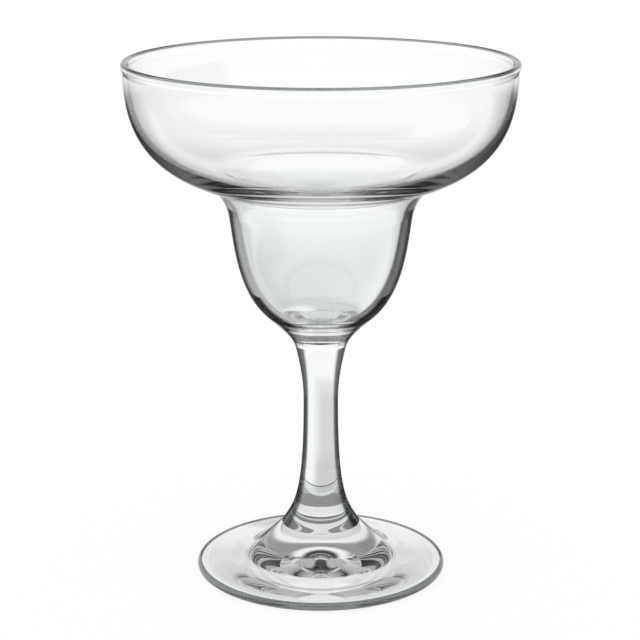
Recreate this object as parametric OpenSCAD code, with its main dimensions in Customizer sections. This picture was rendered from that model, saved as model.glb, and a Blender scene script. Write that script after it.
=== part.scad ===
// Margarita glass: a wide saucer bowl over a narrow well, on a drawn stem and a round foot.
// It is made the way three-piece stemware is: a blown bowl, a solid stem and a pressed foot,
// fused end to end on flat round joints. Every piece is a body of revolution about the Z axis.
// The origin is the centre of the foot on the table, +Z is up, and lengths are in millimetres.

/* [Rim] */
// Diameter over the fire-polished rim
rim_d = 115; // [90:0.5:140]
// Thickness of the rounded rim bead
rim_t = 2; // [1.4:0.1:3]
// How far the bead stands out of the wall under it
rim_proud = 0.5; // [0.2:0.05:0.9]
// Height of the band in which the bead fades into the wall
rim_band_h = 2.5; // [1.8:0.1:4]

/* [Saucer] */
// Height of the saucer, from the waist of the bowl up to the rim
saucer_h = 45; // [34:0.5:60]
// Lean of the saucer's side under the rim, in degrees
side_lean = 0.3; // [0:0.1:2]
// How far the round knee under the saucer's floor reaches out from the waist
knee_run = 6; // [4.5:0.1:8]
// How far that knee rises above the waist
knee_rise = 8.5; // [6.5:0.1:11]
// Slope of the saucer's floor where it meets the knee, in degrees
floor_slope = 18; // [12:0.5:26]

/* [Well] */
// Height of the well, from the stem joint up to the waist
well_h = 40; // [32:0.5:52]
// Outer diameter at the waist, where the well is widest
waist_d = 54.2; // [44:0.2:66]
// Lean of the wall at the waist, in degrees
waist_lean = 11; // [6:0.5:16]
// Outer diameter where the round of the well turns into the neck
base_d = 31.2; // [25:0.2:38]
// Height of that turn above the stem joint
base_h = 8.8; // [7:0.1:11]
// Slope of the wall at that turn, in degrees
base_slope = 39.5; // [30:0.5:48]
// Height of the inner bottom of the well above the stem joint
well_floor_h = 10; // [8:0.1:12.5]

/* [Bowl wall] */
// Wall thickness at the knee between floor and waist
knee_t = 3; // [2.4:0.1:3.7]
// Wall thickness at the waist
waist_t = 2.8; // [2.2:0.1:3.5]
// Wall thickness where the well turns into the neck
base_t = 3.2; // [2.6:0.1:4]

/* [Stem] */
// Length of the stem between its two joints
stem_h = 56; // [44:0.5:72]
// Diameter of the stem at its top joint
neck_d = 15.4; // [12:0.1:19]
// Slope of the stem's side at the top joint, in degrees from upright
neck_flare = 14; // [8:0.5:20]
// Diameter of the stem at its thinnest place
grip_d = 10.4; // [8:0.1:12.6]
// Height of the thinnest place above the foot joint
grip_h = 38.8; // [31:0.2:42]
// Diameter of the stem at the foot joint
root_d = 23.6; // [19:0.2:29]
// Slope of the stem's side at the foot joint, in degrees from upright
root_flare = 33; // [24:0.5:42]
// Step that each fused joint leaves in the outline
seam_step = 0.1; // [0.05:0.01:0.2]
// Slope of the neck under the well at its joint, in degrees from upright
bowl_neck_flare = 16; // [12:0.5:22]

/* [Foot] */
// Diameter of the foot
foot_d = 75.5; // [60:0.5:92]
// Height of the foot up to the stem joint
foot_h = 14; // [11:0.1:17]
// How far the foot's raised hub runs out from the joint
hub_run = 13; // [10:0.1:16]
// Height of the foot's top where the hub ends
hub_t = 4.4; // [3.6:0.1:5.4]
// Slope of the hub's side at the joint, in degrees below level
hub_slope = 45; // [38:0.5:52]
// Slope of the flat part of the foot, in degrees below level
foot_slope = 8; // [5:0.5:12]
// Thickness of the foot's rounded edge
edge_t = 2.4; // [1.8:0.1:3]
// Width of the flat ring that the glass rests on
rest_w = 2.2; // [1.4:0.1:4]
// Rise of the hollow underside at its centre
dome_h = 3.7; // [3:0.1:4.5]

/* [Hidden] */

// Edges in each curve of an outline, and sides of a full turn
curve_steps = 14;
bead_steps = 12;
$fn = 160;

// Power with which the wall thickens down the saucer's side, where 1 is steady growth
side_growth = 2;

// Handle lengths of each curve, as shares of the straight distance between its ends
band_shares = [0.5, 0.5];
side_shares = [0.37, 0.48];
knee_shares = [0.27, 0.38];
well_shares = [0.21, 0.38];
base_shares = [0.36, 0.22];
well_floor_shares = [0.3, 0.55];
neck_shares = [0.29, 0.38];
root_shares = [0.77, 0.17];
hub_shares = [0.5, 0.25];
flange_shares = [0.35, 0.35];
dome_shares = [0.6, 0.2];

// Directions in which an outline is walked, in degrees
inward = 180;
down = 270;
outward = 360;

stem_z = foot_h;
bowl_z = stem_z + stem_h;

// One unit step in a direction
function step(direction) = [cos(direction), sin(direction)];

// Point at t of the cubic curve with corner points c
function along(c, t) =
    pow(1 - t, 3) * c[0] + 3 * t * pow(1 - t, 2) * c[1]
    + 3 * t * t * (1 - t) * c[2] + pow(t, 3) * c[3];

// Direction of travel at t of the same curve, with length one
function heading(c, t) =
    let (v = pow(1 - t, 2) * (c[1] - c[0]) + 2 * t * (1 - t) * (c[2] - c[1]) + t * t * (c[3] - c[2]))
    v / norm(v);

// Corner points of a curve that leaves p in one direction and reaches q in another
function corners(p, leave, q, arrive, shares) =
    let (reach = norm(q - p))
    [p, p + shares[0] * reach * step(leave), q - shares[1] * reach * step(arrive), q];

// Points of a curve from its start up to, but not with, its end
function points(c) = [for (i = [0 : curve_steps - 1]) along(c, i / curve_steps)];

// The same points moved to the right of the travel by a wall that runs from t0 to t1
function wall_points(c, t0, t1, growth = 1) =
    [for (i = [0 : curve_steps - 1])
        let (t = i / curve_steps, v = heading(c, t), wall = t0 + (t1 - t0) * pow(t, growth))
        along(c, t) + wall * [v[1], -v[0]]];

function reversed(list) = [for (i = [len(list) - 1 : -1 : 0]) list[i]];

// Outline of the bowl, from its stem joint at height zero
bowl_h = well_h + saucer_h;
rim_r = rim_d / 2;
side_t = rim_t - rim_proud;
side_top = [rim_r - rim_proud, bowl_h - rim_t / 2 - rim_band_h];
knee = [waist_d / 2 + knee_run, well_h + knee_rise];
waist = [waist_d / 2, well_h];
base = [base_d / 2, base_h];
bowl_neck = [neck_d / 2 + seam_step, 0];
bead_centre = [rim_r - rim_t / 2, bowl_h - rim_t / 2];

side_curve = corners(side_top, down - side_lean, knee, inward + floor_slope, side_shares);
knee_curve = corners(knee, inward + floor_slope, waist, down - waist_lean, knee_shares);
well_curve = corners(waist, down - waist_lean, base, inward + base_slope, well_shares);
base_curve = corners(base, inward + base_slope, bowl_neck, down - bowl_neck_flare, base_shares);

// The wall's inner corner over the turn at the bottom of the well
base_inside = base + base_t * [sin(inward + base_slope), -cos(inward + base_slope)];
well_floor_curve = corners(base_inside, inward + base_slope, [0, well_floor_h], inward, well_floor_shares);

// The rounded rim bead, walked from its inside over the top to its outside
bead_points = [for (i = [0 : bead_steps]) bead_centre + rim_t / 2 * step(inward * (1 - i / bead_steps))];
band_curve = corners([rim_r, bead_centre[1]], down, side_top, down - side_lean, band_shares);

bowl_outside = concat(points(band_curve), points(side_curve), points(knee_curve),
                      points(well_curve), points(base_curve), [bowl_neck]);
bowl_inside = concat(wall_points(side_curve, side_t, knee_t, side_growth),
                     wall_points(knee_curve, knee_t, waist_t), wall_points(well_curve, waist_t, base_t),
                     points(well_floor_curve), [[0, well_floor_h]]);
bowl_outline = concat(bowl_outside, [[0, 0]], reversed(bowl_inside), bead_points);

// Outline of the stem, from its foot joint at height zero
stem_neck = [neck_d / 2, stem_h];
stem_grip = [grip_d / 2, grip_h];
stem_root = [root_d / 2, 0];
neck_curve = corners(stem_neck, down - neck_flare, stem_grip, down, neck_shares);
root_curve = corners(stem_grip, down, stem_root, down + root_flare, root_shares);
stem_outline = concat([[0, stem_h]], points(neck_curve), points(root_curve), [stem_root, [0, 0]]);

// Outline of the foot, from the table at height zero
edge_r = edge_t / 2;
foot_joint = [root_d / 2 + seam_step, foot_h];
hub_end = [foot_joint[0] + hub_run, hub_t];
edge_centre = [foot_d / 2 - edge_r, edge_r];
rest_inside = [edge_centre[0] - rest_w, 0];
hub_curve = corners(foot_joint, outward - hub_slope, hub_end, outward - foot_slope, hub_shares);
flange_curve = corners(hub_end, outward - foot_slope, edge_centre + [0, edge_r], outward, flange_shares);
dome_curve = corners(rest_inside, inward, [0, dome_h], inward, dome_shares);
edge_points = [for (i = [0 : bead_steps]) edge_centre + edge_r * step(inward * (1 / 2 - i / bead_steps))];
foot_outline = concat([[0, foot_h]], points(hub_curve), points(flange_curve), edge_points,
                      points(dome_curve), [[0, dome_h]]);

// Turns an outline about the Z axis, with its own height zero at z
module turned(outline, z) {
    translate([0, 0, z]) rotate_extrude() polygon(outline);
}

// The blown bowl: saucer, knee, well and the solid bottom that the stem is fused to
module bowl() {
    color("azure") turned(bowl_outline, bowl_z);
}

// The solid stem, thinnest near its top and flared at both joints
module stem() {
    color("lightcyan") turned(stem_outline, stem_z);
}

// The pressed foot: raised hub, flat flange, rounded edge and hollow underside
module foot() {
    color("paleturquoise") turned(foot_outline, 0);
}

bowl();
stem();
foot();
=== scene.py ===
# %% [markdown]
# # A margarita glass
# The real object is three-piece stemware: a blown bowl, a drawn stem and a pressed foot, fused
# while the glass is hot. It is clear soda-lime glass with a fire-polished surface, so its look
# comes almost wholly from its shape. Every wall bends the light that passes it, and a wall that is
# a millimetre too thick shows at once. The work goes into smooth outlines with a true wall
# thickness, and into a studio whose dark and bright cards draw the edges, with dark shade
# painted into the glass where its surface turns away.
#
# Lengths are in millimetres until a mesh is made, and every radius is measured from the Z axis.

import bpy
import numpy as np
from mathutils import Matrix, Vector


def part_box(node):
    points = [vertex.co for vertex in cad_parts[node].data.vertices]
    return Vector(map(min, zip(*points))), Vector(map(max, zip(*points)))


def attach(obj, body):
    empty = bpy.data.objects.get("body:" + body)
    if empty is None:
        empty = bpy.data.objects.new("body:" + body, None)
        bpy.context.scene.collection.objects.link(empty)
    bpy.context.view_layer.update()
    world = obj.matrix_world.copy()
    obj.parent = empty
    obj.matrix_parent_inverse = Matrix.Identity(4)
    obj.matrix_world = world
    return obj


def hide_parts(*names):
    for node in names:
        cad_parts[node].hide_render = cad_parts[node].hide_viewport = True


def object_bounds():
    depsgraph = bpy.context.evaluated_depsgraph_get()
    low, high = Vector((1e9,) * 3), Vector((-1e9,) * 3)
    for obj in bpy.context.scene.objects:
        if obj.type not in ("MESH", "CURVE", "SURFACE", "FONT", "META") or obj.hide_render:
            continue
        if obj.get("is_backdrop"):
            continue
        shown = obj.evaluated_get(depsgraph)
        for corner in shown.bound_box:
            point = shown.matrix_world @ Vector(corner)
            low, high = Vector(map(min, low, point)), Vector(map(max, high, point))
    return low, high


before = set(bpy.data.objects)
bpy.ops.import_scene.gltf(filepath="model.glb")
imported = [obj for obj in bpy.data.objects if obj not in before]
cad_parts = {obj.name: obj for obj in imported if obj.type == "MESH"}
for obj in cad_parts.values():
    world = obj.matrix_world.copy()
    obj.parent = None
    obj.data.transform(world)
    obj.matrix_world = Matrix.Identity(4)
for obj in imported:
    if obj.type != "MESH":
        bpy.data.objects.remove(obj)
cad_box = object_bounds()
MM = 0.001
print("nodes", sorted(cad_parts), "height in mm", round(cad_box[1].z / MM, 2))

# %% [markdown]
# ## Outlines
# A glassblower's tools leave outlines that flow, with no corners but the fused joints. Each
# outline here is a chain of cubic curves. A curve knows where it starts and ends and which way it
# travels at each end, so two curves that share an end and a direction join smoothly. A spline
# through many measured points would wave between them, and each wave would bend the light. A few
# curves with true slopes stay as calm as the real wall.

# %% Curves from ends and slopes
INWARD, DOWN, OUTWARD = np.radians([180.0, 270.0, 360.0])
CURVE_STEPS, ARC_STEPS = 30, 20
steps = np.arange(CURVE_STEPS) / CURVE_STEPS


def unit(direction):
    """A unit step in a direction: its cosine outwards and its sine upwards."""
    return np.array([np.cos(direction), np.sin(direction)])


def corners(start, leave, end, arrive, shares):
    """
    Corner points of a cubic curve.

    Each inner corner lies on the slope at its end, at a share of the straight distance from it.
    """
    start, end = np.array(start, float), np.array(end, float)
    reach = np.linalg.norm(end - start)
    after_start = start + shares[0] * reach * unit(leave)
    before_end = end - shares[1] * reach * unit(arrive)
    return np.array([start, after_start, before_end, end])


def along(curve, t):
    """Points at t: the four corners weighed by (1-t)^3, 3t(1-t)^2, 3t^2(1-t) and t^3."""
    t = t[:, None]
    weights = ((1 - t) ** 3, 3 * t * (1 - t) ** 2, 3 * t**2 * (1 - t), t**3)
    return sum(weight * corner for weight, corner in zip(weights, curve))


print("each curve has", CURVE_STEPS, "steps and each round edge", ARC_STEPS, "points")

# %% [markdown]
# ## Walls and round edges
# A blown wall has a thickness at every place, measured square to its surface. The inside outline
# is therefore the outside one moved sideways, never a second guess at a curve. The thickness may
# grow along the curve, because hot glass sinks towards the bottom of the bowl. Fire polishing
# melts a cut edge into a round bead, which is an arc of a circle here.

# %% Offsets and arcs


def sideways(curve, t):
    """Unit normals at t, to the right of the travel: the curve's slope turned by a quarter."""
    t = t[:, None]
    legs = np.diff(curve, axis=0)
    travel = (1 - t) ** 2 * legs[0] + 2 * t * (1 - t) * legs[1] + t**2 * legs[2]
    travel /= np.linalg.norm(travel, axis=1, keepdims=True)
    return np.stack([travel[:, 1], -travel[:, 0]], axis=1)


def offset(curve, wall_start, wall_end, ease=1):
    """The curve moved to its right by start + (end - start) * t^ease."""
    wall = wall_start + (wall_end - wall_start) * steps**ease
    return along(curve, steps) + wall[:, None] * sideways(curve, steps)


def arc(centre, radius, start, end, count):
    """Points on a circle: the centre plus the radius times unit steps at even angles."""
    angles = np.linspace(start, end, count)
    return np.array(centre) + radius * np.stack([np.cos(angles), np.sin(angles)], axis=1)


check = arc((0, 0), 1.0, 0, np.pi, 3)
print("a half turn on a circle of radius 1 ends at", check[-1].round(3))

# %% [markdown]
# ## From outline to glass
# All three pieces are turned shapes. Spinning the outline about the Z axis on a grid of outline
# points by angles gives clean rings of quads. The two ends of an outline lie on the axis, and
# each becomes a single pole point, so the shell is closed with no hole and no doubled points.

# %% A turned, closed shell
TURN_STEPS, SHARP_FROM = 256, 40


def turned(name, outline):
    """
    A surface of revolution: x = r cos(a), y = r sin(a), z from the outline, a fan at each pole.

    The outline runs from the axis at the bottom, round the outside, back to the axis.
    """
    outline = np.array(outline)
    ring, rings = TURN_STEPS, len(outline) - 2
    angle = np.arange(ring) / ring * 2 * np.pi
    radius, height = outline[1:-1, 0, None], outline[1:-1, 1, None]
    grid = np.stack([radius * np.cos(angle), radius * np.sin(angle), height + 0 * angle], axis=2)
    poles = np.array([[0, 0, outline[0, 1]], [0, 0, outline[-1, 1]]])
    points = np.concatenate([grid.reshape(-1, 3), poles]) * MM

    here = np.arange(ring)
    after = (here + 1) % ring
    low = (np.arange(rings - 1) * ring)[:, None]
    quads = np.stack([low + here, low + after, low + ring + after, low + ring + here], axis=2)
    bottom, top, last = rings * ring, rings * ring + 1, (rings - 1) * ring
    lower_fan = np.stack([0 * here + bottom, after, here], axis=1)
    upper_fan = np.stack([0 * here + top, last + here, last + after], axis=1)
    faces = quads.reshape(-1, 4).tolist() + lower_fan.tolist() + upper_fan.tolist()

    mesh = bpy.data.meshes.new(name)
    mesh.from_pydata(points, [], faces)
    mesh.polygons.foreach_set("use_smooth", np.ones(len(faces), bool))
    mesh.update()
    mesh.set_sharp_from_angle(angle=np.radians(SHARP_FROM))
    piece = bpy.data.objects.new(name, mesh)
    bpy.context.scene.collection.objects.link(piece)
    print(name, "has", 2 * quads.shape[0] * ring + 2 * ring, "triangles")
    return piece


# %% [markdown]
# ## Sizes that the frame gives
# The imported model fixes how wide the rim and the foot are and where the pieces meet. They are
# read from the frame, so these can't drift away from the solid glass. The other lengths below
# repeat the ones that the solid glass is made with.

# %% Rim, foot and joints
bowl_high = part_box("bowl")[1]
stem_low, stem_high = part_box("stem")
foot_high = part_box("foot")[1]
rim_r = bowl_high.x / MM
rim_z = bowl_high.z / MM
foot_r = foot_high.x / MM
neck_z = stem_high.z / MM
root_z = stem_low.z / MM
print("rim radius", round(rim_r, 2), "foot radius", round(foot_r, 2))
print("stem from", round(root_z, 2), "to", round(neck_z, 2))

# %% [markdown]
# ## The bowl's outside
# The bowl is blown into a mould in one go: a wide saucer with a nearly upright side, a flat
# shoulder, a narrow waist and a deep well below it. The outside is what the mould gives, so it
# comes first. From the top: a short band under the rim, the side, the turn over the waist, the
# well, and the bottom that flares into the stem.

# %% The bowl's outside, in millimetres
RIM_T, RIM_PROUD, RIM_BAND = 2.0, 0.5, 2.5
WAIST_R, WAIST_H = 27.1, 40.0
KNEE_RUN, KNEE_RISE = 6.0, 8.5
BASE_R, BASE_H = 15.6, 8.8
NECK_R, SEAM_STEP = 7.7, 0.05
side_lean, floor_slope, waist_lean, base_slope, neck_flare = np.radians([0.3, 18, 11, 39.5, 16])

waist_z = neck_z + WAIST_H
bead_centre = (rim_r - RIM_T / 2, rim_z - RIM_T / 2)
side_top = (rim_r - RIM_PROUD, rim_z - RIM_T / 2 - RIM_BAND)
knee = (WAIST_R + KNEE_RUN, waist_z + KNEE_RISE)
waist = (WAIST_R, waist_z)
base = (BASE_R, neck_z + BASE_H)
neck = (NECK_R + SEAM_STEP, neck_z)

band = corners((rim_r, bead_centre[1]), DOWN, side_top, DOWN - side_lean, (0.5, 0.5))
side = corners(side_top, DOWN - side_lean, knee, INWARD + floor_slope, (0.37, 0.48))
turn = corners(knee, INWARD + floor_slope, waist, DOWN - waist_lean, (0.27, 0.38))
well = corners(waist, DOWN - waist_lean, base, INWARD + base_slope, (0.21, 0.38))
bottom = corners(base, INWARD + base_slope, neck, DOWN - neck_flare, (0.36, 0.22))
outside = np.concatenate([along(curve, steps) for curve in (band, side, turn, well, bottom)])
outside = np.concatenate([outside, [neck]])
print("the bowl's outside has", len(outside), "points")

# %% [markdown]
# ## The bowl's inside
# The side is thin and the knee over the waist is the thickest part of the wall, where the glass
# gathers in the mould. The well's floor is much thicker than its wall and slightly dished. It
# stops well above the joint, which leaves the heavy clear lump that such a glass has there.

# %% The wall and the rim's bead
KNEE_T, WAIST_T, BASE_T = 3.0, 2.8, 3.2
SIDE_EASE, WELL_FLOOR_H = 2, 10.0

side_t = RIM_T - RIM_PROUD
well_end = np.array([1.0])
base_inside = (along(well, well_end) + BASE_T * sideways(well, well_end))[0]
well_bottom = (0, neck_z + WELL_FLOOR_H)
well_floor = corners(base_inside, INWARD + base_slope, well_bottom, INWARD, (0.3, 0.55))
saucer_wall = offset(side, side_t, KNEE_T, SIDE_EASE)
turn_wall = offset(turn, KNEE_T, WAIST_T)
well_wall = offset(well, WAIST_T, BASE_T)
walls = [saucer_wall, turn_wall, well_wall]
inside = np.concatenate(walls + [along(well_floor, steps), [well_bottom]])
bead = arc(bead_centre, RIM_T / 2, 0, np.pi, ARC_STEPS)[1:]
bowl_outline = np.concatenate([[(0, neck_z)], outside[::-1], bead, inside])
print("the bowl's outline has", len(bowl_outline), "points")

# %% [markdown]
# ## The stem
# The stem is drawn from a hot gather under the bowl. It is thinnest near its middle and swells to
# both ends: gently to the neck, and in a trumpet shape to the foot. It is solid glass.

# %% The stem's outline
GRIP_R, GRIP_H, ROOT_R = 5.2, 38.8, 11.8
stem_flare, root_flare = np.radians([14, 33])
grip = (GRIP_R, root_z + GRIP_H)
root = (ROOT_R, root_z)
upper = corners((NECK_R, neck_z), DOWN - stem_flare, grip, DOWN, (0.29, 0.38))
lower = corners(grip, DOWN, root, DOWN + root_flare, (0.77, 0.17))
stem_outside = np.concatenate([along(upper, steps), along(lower, steps), [root]])
stem_outline = np.concatenate([[(0, root_z)], stem_outside[::-1], [(0, neck_z)]])
print("the stem's outline has", len(stem_outline), "points")

# %% [markdown]
# ## The foot
# The foot is pressed: a hub that takes up the stem's flare, a flat flange and a rounded edge. Its
# underside is domed, so that only a narrow ring touches the table and the glass can't rock. The
# dome also bends the light under the hub, which makes the dark and bright shapes there.

# %% The foot's outline
HUB_RUN, HUB_T, EDGE_T, REST_W, DOME_H = 13.0, 4.4, 2.4, 2.2, 3.7
hub_slope, foot_slope = np.radians([45, 8])
edge_r = EDGE_T / 2
foot_joint = (ROOT_R + SEAM_STEP, root_z)
hub_end = (foot_joint[0] + HUB_RUN, HUB_T)
edge_centre = (foot_r - edge_r, edge_r)
flange_end = (edge_centre[0], EDGE_T)
rest_inside = (edge_centre[0] - REST_W, 0)

hub = corners(foot_joint, OUTWARD - hub_slope, hub_end, OUTWARD - foot_slope, (0.5, 0.25))
flange = corners(hub_end, OUTWARD - foot_slope, flange_end, OUTWARD, (0.35, 0.35))
edge = arc(edge_centre, edge_r, np.pi / 2, -np.pi / 2, ARC_STEPS)
dome = corners(rest_inside, INWARD, (0, DOME_H), INWARD, (0.6, 0.2))
foot_outside = np.concatenate([along(hub, steps), along(flange, steps), edge, along(dome, steps)])
foot_outline = np.concatenate([[(0, DOME_H)], foot_outside[::-1], [(0, root_z)]])
print("the foot's outline has", len(foot_outline), "points")

# %% [markdown]
# ## The three pieces
# Each piece stands for its solid in the imported model and rides on the same node.

# %% Pieces in the frame
bowl_glass = turned("bowl_glass", bowl_outline)
stem_glass = turned("stem_glass", stem_outline)
foot_glass = turned("foot_glass", foot_outline)
for piece, node in ((bowl_glass, "bowl"), (stem_glass, "stem"), (foot_glass, "foot")):
    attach(piece, "root")
    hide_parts(node)
    print(piece.name, "stands for", node)

# %% [markdown]
# ## Colours and nodes
# Colours are written as the hex values that a colour picker shows, and one function turns them
# into linear light. One small function adds a node with its settings and links. The text then
# reads like the node editor, from the first node to the output.

# %% Colour and node helpers


def linear(text):
    """Hex colour to linear light: v / 12.92 up to 0.04045, then ((v + 0.055) / 1.055) ^ 2.4."""
    value = np.array([int(text[i : i + 2], 16) for i in (0, 2, 4)]) / 255
    light = np.where(value <= 0.04045, value / 12.92, ((value + 0.055) / 1.055) ** 2.4)
    return tuple(light) + (1.0,)


def add(tree, kind, inputs=None, **settings):
    """A node of a kind, with its settings, and its inputs set to values or linked to sockets."""
    node = tree.nodes.new(kind)
    for name, value in settings.items():
        setattr(node, name, value)
    for name, value in (inputs or {}).items():
        if isinstance(value, bpy.types.NodeSocket):
            tree.links.new(value, node.inputs[name])
        else:
            node.inputs[name].default_value = value
    return node


def new_material(name):
    """An empty material and its node tree."""
    material = bpy.data.materials.new(name)
    material.use_nodes = True
    material.node_tree.nodes.clear()
    return material, material.node_tree


print("mid grey in linear light", round(float(linear("808080")[0]), 3))

# %% [markdown]
# ## Clear glass with painted edge shade
# Soda-lime glass is almost colourless through its thickness, with a faint cool grey. Real stemware
# shows dark outlines where its edges bend and mirror darker parts of the room. Here that dark is
# painted shade: the colour goes from a clear tone to an edge tone as the surface turns away, only
# for rays that enter the glass. Rays that leave it keep the clear tone, or the painted dark line
# would show twice.

# %% A painted shade that deepens the tint at the edge
GLASS_IOR = 1.5


def glass(name, clear, edge, starts, ends):
    """
    Clear glass with painted edge shade: the tint is clear + (edge - clear) * smooth step of the
    slant from starts to ends.

    The slant is 0 where a surface faces the eye and 1 where it is seen edge on. The edge colour is
    painted shade, and only rays that enter the glass get it.
    """
    material, tree = new_material(name)
    slant = add(tree, "ShaderNodeLayerWeight", {"Blend": 0.5})
    geometry = add(tree, "ShaderNodeNewGeometry")
    limits = {"Value": slant.outputs["Facing"], "From Min": starts, "From Max": ends}
    ramp = add(tree, "ShaderNodeMapRange", limits, interpolation_type="SMOOTHSTEP")
    entering = {0: 1.0, 1: geometry.outputs["Backfacing"]}
    entering = add(tree, "ShaderNodeMath", entering, operation="SUBTRACT")
    share = {0: ramp.outputs["Result"], 1: entering.outputs["Value"]}
    share = add(tree, "ShaderNodeMath", share, operation="MULTIPLY")
    # The edge tone is painted shade, mixed in where the surface turns away from the eye.
    clear_and_painted_edge_tones = {"Factor": share.outputs["Value"], "A": linear(clear), "B": linear(edge)}
    tint_with_painted_shade = add(tree, "ShaderNodeMix", clear_and_painted_edge_tones, data_type="RGBA")
    looks = {"Roughness": 0.0, "IOR": GLASS_IOR, "Transmission Weight": 1.0}
    looks["Base Color"] = tint_with_painted_shade.outputs["Result"]
    shader = add(tree, "ShaderNodeBsdfPrincipled", looks)
    add(tree, "ShaderNodeOutputMaterial", {"Surface": shader.outputs["BSDF"]})
    print(name, "is", clear, "and", edge, "at its edge")
    return material


# %% [markdown]
# ## Seven finishes of one glass, each with its own painted shade
# The glass is the same everywhere, and each part gets its own painted edge shade. The thin blown
# side has a narrow, mild painted outline. The well's thick wall gets a broader painted black one
# and a faint painted grey body, and the broadest outline is at its bottom, where hot glass
# gathers. The molten bead of the rim and the rounded edge of the foot are so small that they are
# painted grey all over, to show as grey lines. The solid stem's painted shade starts early, as the
# dark sides of a rod lens would. The pressed foot is painted greyer than the rest all over.

# %% Glass finishes with painted shade
# Thin mould-blown wall, polished by fire: nearly invisible, with a soft painted grey outline.
blown = glass("fire_polished_blown_glass_painted_outline", "fcfdfd", "242828", 0.8, 0.97)
# Thick lower wall of the same bubble: a faint painted grey body between painted black outlines.
thick_blown = glass("thick_blown_glass_painted_grey_and_outline", "f4f6f6", "181c1c", 0.6, 0.78)
# Glass that sank to the well's bottom while hot: painted grey body, widest painted black outline.
gathered = glass("gathered_glass_painted_grey_and_wide_outline", "f4f6f6", "0a0c0c", 0.5, 0.62)
# Edge melted to a bead, painted grey all over with a darker painted edge: a grey line all round.
bead_glass_painted_grey = glass("fire_polished_rim_painted_grey", "707575", "303434", 0.8, 1.0)
# Solid rod drawn from the hot gather: clear, with crisp painted dark shade at its two sides.
drawn = glass("drawn_glass_painted_outline", "f6f8f7", "1c2020", 0.28, 0.42)
# Pressed disc with a smooth skin: a painted pale grey sheen, with a painted darker edge.
pressed = glass("pressed_glass_painted_grey_sheen", "eef0f0", "303434", 0.8, 1.0)
# Rounded edge of the pressed disc: painted dark grey all over, as its outline.
pressed_edge_painted_grey = glass("pressed_rounded_edge_painted_grey", "444848", "202424", 0.8, 1.0)

# %% [markdown]
# ## Fused joints
# Where two hot pieces are fused there is no surface left inside the glass. The flat faces at the
# joints get a material that light passes unchanged, so the lump under the well runs on into the
# stem without a mirror in between.

# %% Joint material
fused_joint, tree = new_material("fused_joint")
shader = add(tree, "ShaderNodeBsdfTransparent")
add(tree, "ShaderNodeOutputMaterial", {"Surface": shader.outputs["BSDF"]})
print("the fused joint lets light pass unchanged")

# %% [markdown]
# ## Which face has which finish
# Each piece is one closed surface, so its finishes, each with its own painted edge shade, are
# given face by face. A face is chosen by how far it is from the axis, how high it is and how much
# it looks up or down. An outside face of the well leans over and looks down, and an inside one
# looks up. A joint looks straight up or down, which a rise beyond LEVEL tells, and TOUCH is how
# near the foot's joint its faces lie.

# %% Faces by radius, height and rise
THICK_RISE, GATHER_RISE, BEAD_H, EDGE_W = 3.0, 17.5, 0.6, 1.2
LEVEL, TOUCH = 0.99, 0.01


def give(piece, material, chosen):
    """Adds a material and gives it to the faces chosen by radius, height and the normal's rise."""
    mesh = piece.data
    mesh.materials.append(material)
    centre, normal = np.empty(len(mesh.polygons) * 3), np.empty(len(mesh.polygons) * 3)
    slots = np.empty(len(mesh.polygons), int)
    mesh.polygons.foreach_get("center", centre)
    mesh.polygons.foreach_get("normal", normal)
    mesh.polygons.foreach_get("material_index", slots)
    x, y, z = centre.reshape(-1, 3).T / MM
    faces = chosen(np.hypot(x, y), z, normal[2::3])
    slots[faces] = len(mesh.materials) - 1
    mesh.polygons.foreach_set("material_index", slots)
    print(piece.name, "has", int(faces.sum()), "faces of", material.name)


def well_base(r, z, rise):
    """The outside of the well, from where it turns to the neck up to GATHER_RISE over the neck."""
    return (z > base[1]) & (z < neck_z + GATHER_RISE) & (rise < 0)


# Each finish carries painted shade: a dark edge tone, and grey all over on the bead and the foot.
give(bowl_glass, blown, lambda r, z, rise: r >= 0)
give(bowl_glass, thick_blown, lambda r, z, rise: (z < waist_z + THICK_RISE) & (rise < 0))
give(bowl_glass, gathered, well_base)
give(bowl_glass, bead_glass_painted_grey, lambda r, z, rise: z > rim_z - BEAD_H)
give(bowl_glass, fused_joint, lambda r, z, rise: rise < -LEVEL)
give(stem_glass, drawn, lambda r, z, rise: r >= 0)
give(stem_glass, fused_joint, lambda r, z, rise: abs(rise) > LEVEL)
give(foot_glass, pressed, lambda r, z, rise: r >= 0)
give(foot_glass, pressed_edge_painted_grey, lambda r, z, rise: r > foot_r - EDGE_W)
give(foot_glass, fused_joint, lambda r, z, rise: (abs(z - root_z) < TOUCH) & (rise > LEVEL))

# %% [markdown]
# ## The studio
# Glass on a white page is photographed in a white room with some cards. The background stays
# plain white, and the cards stand where only the edges and curves of the glass can see them. A
# card here is a patch with soft borders, painted over the cards before it.
#
# The photo's cards are unknown, so these were found backwards. Rays were followed from the eye
# through this glass, and a rough fit to the photo suggested how bright trial cards should be.
# Places and brightnesses were then set one by one, with renders held beside the photo, so they
# suit the photo's camera best. Each card has round values, so anyone can move it again. A table
# of measured light would fit better, but nobody could move its lamps.

# %% Soft-edged cards
TURN_SOFT = 12


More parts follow.
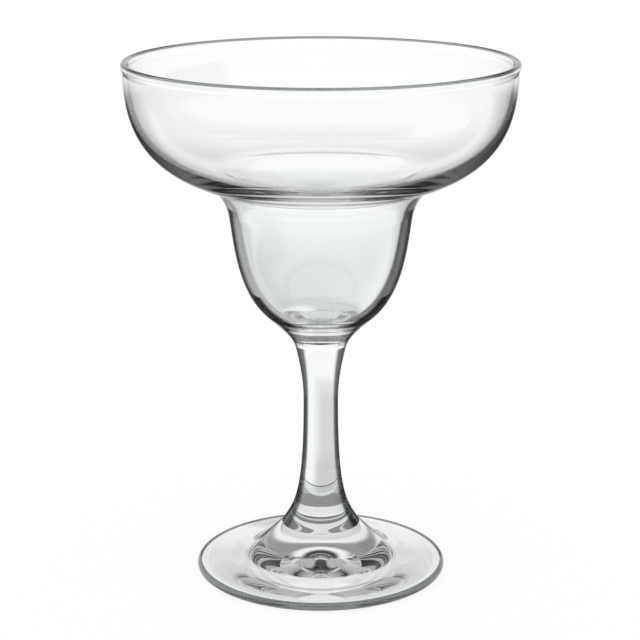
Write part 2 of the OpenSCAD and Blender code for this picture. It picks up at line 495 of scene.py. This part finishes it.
def cards(tree, base_light, places, reach, soft, table):
    """
    The brightness of a room: a base, with each card blended over what is there before it.

    A card is a side, a turn from and to, a reach from and to, and a brightness. It covers the
    product of four smooth steps, one at each of its borders. None means no border there.
    """
    light = base_light
    for side_name, start, end, low, high, brightness in table:
        across = places[side_name]
        cover = 1.0
        borders = ((across, start, TURN_SOFT, 0, 1), (across, end, TURN_SOFT, 1, 0))
        borders += ((reach, low, soft, 0, 1), (reach, high, soft, 1, 0))
        for value, border, width, before, after in borders:
            if border is None:
                continue
            limits = {"Value": value, "To Min": before, "To Max": after}
            limits.update({"From Min": border - width / 2, "From Max": border + width / 2})
            ramp = add(tree, "ShaderNodeMapRange", limits, interpolation_type="SMOOTHSTEP")
            both = {0: cover, 1: ramp.outputs["Result"]}
            cover = add(tree, "ShaderNodeMath", both, operation="MULTIPLY").outputs["Value"]
        over = {"Factor": cover, "A": light, "B": brightness}
        light = add(tree, "ShaderNodeMix", over, data_type="FLOAT").outputs["Result"]
    return light


print("a card fades across", TURN_SOFT, "degrees at its sides")

# %% [markdown]
# ## A room for each kind of path
# Light reaches the eye by five kinds of path: straight through the walls, mirrored off the outer
# skin, mirrored once inside the glass, mirrored a few times, and mirrored often in the thick
# parts. Each kind draws its own part of the picture: the calm middle, the sheen, the dark walls,
# the figures in the hub. In a real studio one card serves them all at once, and moving it to mend
# one part spoils another. Here each kind of path has its own room.

# %% Rooms by kind of path
LOSS = 0.93
ONCE, FEW, MANY = 0.5, 1.5, 4.5


def by_path(tree, seen, skin, once, few, many):
    """
    Picks the room of a ray by how often it was mirrored: 0, 1, 2 to 4, or more times.

    The limits lie halfway between whole counts. A ray that was mirrored once and never went into
    the glass sees the skin's room. The light is scaled by LOSS to the power of the count, for
    what each mirroring costs.
    """
    path = add(tree, "ShaderNodeLightPath")
    count = path.outputs["Glossy Depth"]
    within = {0: count, 1: path.outputs["Transmission Depth"]}
    within = add(tree, "ShaderNodeMath", within, operation="MINIMUM").outputs["Value"]
    light = seen
    for value, limit, room in (
        (count, ONCE, skin),
        (within, ONCE, once),
        (count, FEW, few),
        (count, MANY, many),
    ):
        passed = add(tree, "ShaderNodeMath", {0: value, 1: limit}, operation="GREATER_THAN")
        choice = {"Factor": passed.outputs["Value"], "A": light, "B": room}
        light = add(tree, "ShaderNodeMix", choice, data_type="FLOAT").outputs["Result"]
    kept = add(tree, "ShaderNodeMath", {0: LOSS, 1: count}, operation="POWER")
    product = {0: light, 1: kept.outputs["Value"]}
    return add(tree, "ShaderNodeMath", product, operation="MULTIPLY").outputs["Value"]


print("light kept after ten mirrorings", round(LOSS**10, 2))

# %% [markdown]
# ## Turns
# A card is placed by its turn, which is how far round it lies from straight ahead, beyond the
# glass. A card on the left or right is placed by the turn to its own side. A card on both sides is
# a pair, and needs only the size of the turn.

# %% Turns to the right, to the left and to both sides


def turns(tree, point):
    """The turn of a point from straight ahead, arctan(x / y), clockwise in degrees, by side."""
    parts = add(tree, "ShaderNodeSeparateXYZ", {"Vector": point})
    angle = {0: parts.outputs["X"], 1: parts.outputs["Y"]}
    angle = add(tree, "ShaderNodeMath", angle, operation="ARCTAN2")
    right = add(tree, "ShaderNodeMath", {0: angle.outputs["Value"]}, operation="DEGREES")
    right = right.outputs["Value"]
    left = add(tree, "ShaderNodeMath", {0: right, 1: -1.0}, operation="MULTIPLY")
    both = add(tree, "ShaderNodeMath", {0: right}, operation="ABSOLUTE")
    return {"right": right, "left": left.outputs["Value"], "both": both.outputs["Value"]}


print("ahead is 0 degrees, and a card straight to the side is at 90")

# %% [markdown]
# ## The white floor
# The glass stands on a wide white sweep of paper with no edge in sight. It is a single flat face,
# far larger than the view, because a real sweep shows no wall or horizon either.

# %% Floor plane
FLOOR_HALF = 4.0
mesh = bpy.data.meshes.new("floor")
signs = ((-1, -1), (1, -1), (1, 1), (-1, 1))
mesh.from_pydata([(FLOOR_HALF * x, FLOOR_HALF * y, 0) for x, y in signs], [], [(0, 1, 2, 3)])
floor = bpy.data.objects.new("floor", mesh)
bpy.context.scene.collection.objects.link(floor)
floor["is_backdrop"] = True
print("floor", 2 * FLOOR_HALF, "m wide")

# %% [markdown]
# ## Cards on the floor
# Through the glass the paper shows four grey cards beyond it on the left, darker the nearer they
# reach, and a half-bright one at each side. The stem is a rod lens that swaps left and right, so
# they shade its right side, and they tone the bottom of the well too. Mirrored rays meet long
# cards from 47 mm out. The dark ones draw the lines along the walls and the stem, and the paper
# beyond them stays light for the foot.

# %% Floor cards: side, turn in degrees, reach in mm, brightness
FLOOR_SEEN = [("left", -14, 38, 28, 420, 0.88), ("left", -2, 38, 28, 330, 0.8)]
FLOOR_SEEN += [("left", -2, 38, 28, 200, 0.71), ("left", -8, 38, 28, 80, 0.65)]
FLOOR_SEEN += [("both", 38, 68, 60, 200, 0.5)]
FLOOR_SKIN = [("both", None, 19, 110, 650, 0.7), ("both", 17, 64, 47, 900, 0.05)]
FLOOR_ONCE = [("both", None, 19, 110, 650, 1.1), ("right", 17, 64, 47, 900, 0.15)]
FLOOR_ONCE += [("left", 17, 64, 47, 900, 0.55), ("both", None, None, None, 15, 0.3)]
FLOOR_FEW = [("both", 28, 92, None, None, 0.05)]
FLOOR_ROOMS = [(1.02, FLOOR_SEEN), (0.97, FLOOR_SKIN), (0.9, FLOOR_ONCE), (0.9, FLOOR_FEW)]
FLOOR_ROOMS += [(0.9, [])]
print("floor cards", sum(len(table) for base_light, table in FLOOR_ROOMS))

# %% [markdown]
# ## Paper
# White paper is matt. The eye sees it glow plain white, and a small share of a true matt surface
# in it lets the glass cast its soft shadow. Every other ray sees the cards. Their reach is
# counted in powers of ten, so that a far border is as soft to the eye as a near one.

# %% Paper with its cards
REACH_SOFT, SHADOW_SHARE = 0.18, 0.15


def decades(table):
    """The same cards with each reach as its log10, and None kept where a card has no border."""
    logs = {reach: np.log10(reach) for card in table for reach in card[3:5] if reach}
    return [card[:3] + (logs.get(card[3]), logs.get(card[4])) + card[5:] for card in table]


paper, tree = new_material("white_paper_sweep")
point = add(tree, "ShaderNodeTexCoord").outputs["Object"]
places = turns(tree, point)
away = add(tree, "ShaderNodeVectorMath", {0: point}, operation="LENGTH").outputs["Value"]
away = add(tree, "ShaderNodeMath", {0: away, 1: 1 / MM}, operation="MULTIPLY").outputs["Value"]
reach = add(tree, "ShaderNodeMath", {0: away, 1: 10.0}, operation="LOGARITHM").outputs["Value"]
rooms = []
for base_light, table in FLOOR_ROOMS:
    rooms.append(cards(tree, base_light, places, reach, REACH_SOFT, decades(table)))
light = by_path(tree, *rooms)
seen_directly = add(tree, "ShaderNodeLightPath").outputs["Is Camera Ray"]
plain = {"Factor": seen_directly, "A": light, "B": 1.0}
light = add(tree, "ShaderNodeMix", plain, data_type="FLOAT").outputs["Result"]
glow = add(tree, "ShaderNodeEmission", {"Strength": light})
sheet = add(tree, "ShaderNodeBsdfDiffuse", {"Color": linear("ffffff")})
share = add(tree, "ShaderNodeMath", {0: seen_directly, 1: SHADOW_SHARE}, operation="MULTIPLY")
parts = {0: share.outputs["Value"], 1: glow.outputs["Emission"], 2: sheet.outputs["BSDF"]}
mix = add(tree, "ShaderNodeMixShader", parts)
add(tree, "ShaderNodeOutputMaterial", {"Surface": mix.outputs["Shader"]})
floor.data.materials.append(paper)
print("paper has", len(tree.nodes), "nodes")

# %% [markdown]
# ## Cards in the room
# The room is white all round. A black card high ahead blacks out the top of the arc in the hub,
# and a grey one below it tones the walls. Low cards at the sides give the saucer's outline, the
# right one far darker than the left. The thick parts see bright light ahead and darker cards at
# their sides.

# %% Room cards: side, turn in degrees, lift in degrees, brightness
ROOM_ONCE = [("right", 37, 118, None, 18, 0.1), ("left", 37, 118, None, 18, 0.9)]
ROOM_ONCE += [("right", 37, 70, 18, None, 0.2), ("both", None, 37, 16, 43, 0.35)]
ROOM_ONCE += [("both", None, 68, 55, None, 0.0)]
ROOM_FEW = [("both", None, 28, None, None, 1.2), ("both", 60, 120, 17, 45, 0.05)]
ROOM_FEW += [("both", 120, 160, 40, 62, 0.6), ("both", 163, None, 20, None, 0.0)]
ROOMS = [(1.1, []), (1.0, ROOM_ONCE), (1.07, ROOM_ONCE), (0.55, ROOM_FEW), (1.0, [])]
print("room cards", len(ROOM_ONCE) + len(ROOM_FEW))

# %% [markdown]
# ## The world
# The room is far away, so a ray's direction alone says what it sees: its turn, and its lift above
# the horizon. The eye and the matt part of the paper see plain white.

# %% The world's light
LIFT_SOFT = 10
scene = bpy.context.scene
world = bpy.data.worlds.new("studio")
scene.world = world
world.use_nodes = True
tree = world.node_tree
tree.nodes.clear()
point = add(tree, "ShaderNodeTexCoord").outputs["Generated"]
places = turns(tree, point)
rise = add(tree, "ShaderNodeSeparateXYZ", {"Vector": point}).outputs["Z"]
lift = add(tree, "ShaderNodeMath", {0: rise}, operation="ARCSINE").outputs["Value"]
lift = add(tree, "ShaderNodeMath", {0: lift}, operation="DEGREES").outputs["Value"]
rooms = [cards(tree, base_light, places, lift, LIFT_SOFT, table) for base_light, table in ROOMS]
light = by_path(tree, *rooms)
path = add(tree, "ShaderNodeLightPath")
direct = {0: path.outputs["Is Camera Ray"], 1: path.outputs["Is Diffuse Ray"]}
direct = add(tree, "ShaderNodeMath", direct, operation="MAXIMUM").outputs["Value"]
plain = {"Factor": direct, "A": light, "B": 1.0}
light = add(tree, "ShaderNodeMix", plain, data_type="FLOAT").outputs["Result"]
sky = {"Color": linear("ffffff"), "Strength": light}
sky = add(tree, "ShaderNodeBackground", sky)
add(tree, "ShaderNodeOutputWorld", {"Surface": sky.outputs["Background"]})
print("world has", len(tree.nodes), "nodes")

# %% [markdown]
# ## Long paths
# Light that is trapped in the stem and the hub is mirrored dozens of times before it gets out. A
# path that is cut short turns black, so the limits are far above the usual ones.

# %% Bounces and view
BOUNCES = 64
scene.view_settings.view_transform = "Standard"
scene.cycles.max_bounces = BOUNCES
scene.cycles.glossy_bounces = BOUNCES
scene.cycles.transmission_bounces = BOUNCES
print("bounces", scene.cycles.max_bounces)

# %% [markdown]
# ## Camera
# The camera is solved from the photo: the rim's and the foot's ellipses give its height and
# pitch, and the way their widths compare gives its distance. It stands about half a metre away
# and looks slightly down. The photo is square, and its glass stands a little right of the middle.

# %% Camera
CAMERA_D, CAMERA_H, PITCH, FOCAL_PX = 0.5539, 0.2271, 15.12, 1926.1
FRAME_PX, SHIFT_PX, SENSOR = 640, -0.8, 36
camera_data = bpy.data.cameras.new("camera")
camera_data.sensor_width = SENSOR
camera_data.lens = FOCAL_PX / FRAME_PX * SENSOR
camera_data.shift_x = SHIFT_PX / FRAME_PX
camera = bpy.data.objects.new("camera", camera_data)
camera.location = (0, -CAMERA_D, CAMERA_H)
camera.rotation_euler = (np.radians(90 - PITCH), 0, 0)
scene.collection.objects.link(camera)
scene.camera = camera
print("lens in mm", round(camera_data.lens, 1))

# %% [markdown]
# The box of the looks is put beside the box of the imported model. They must agree, because
# the shared frame is only worth something when both models have the same size.

# %% Size
visual_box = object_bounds()
boxes = {"cad": cad_box, "visual": visual_box}
boxes = {name: [list(corner) for corner in box] for name, box in boxes.items()}
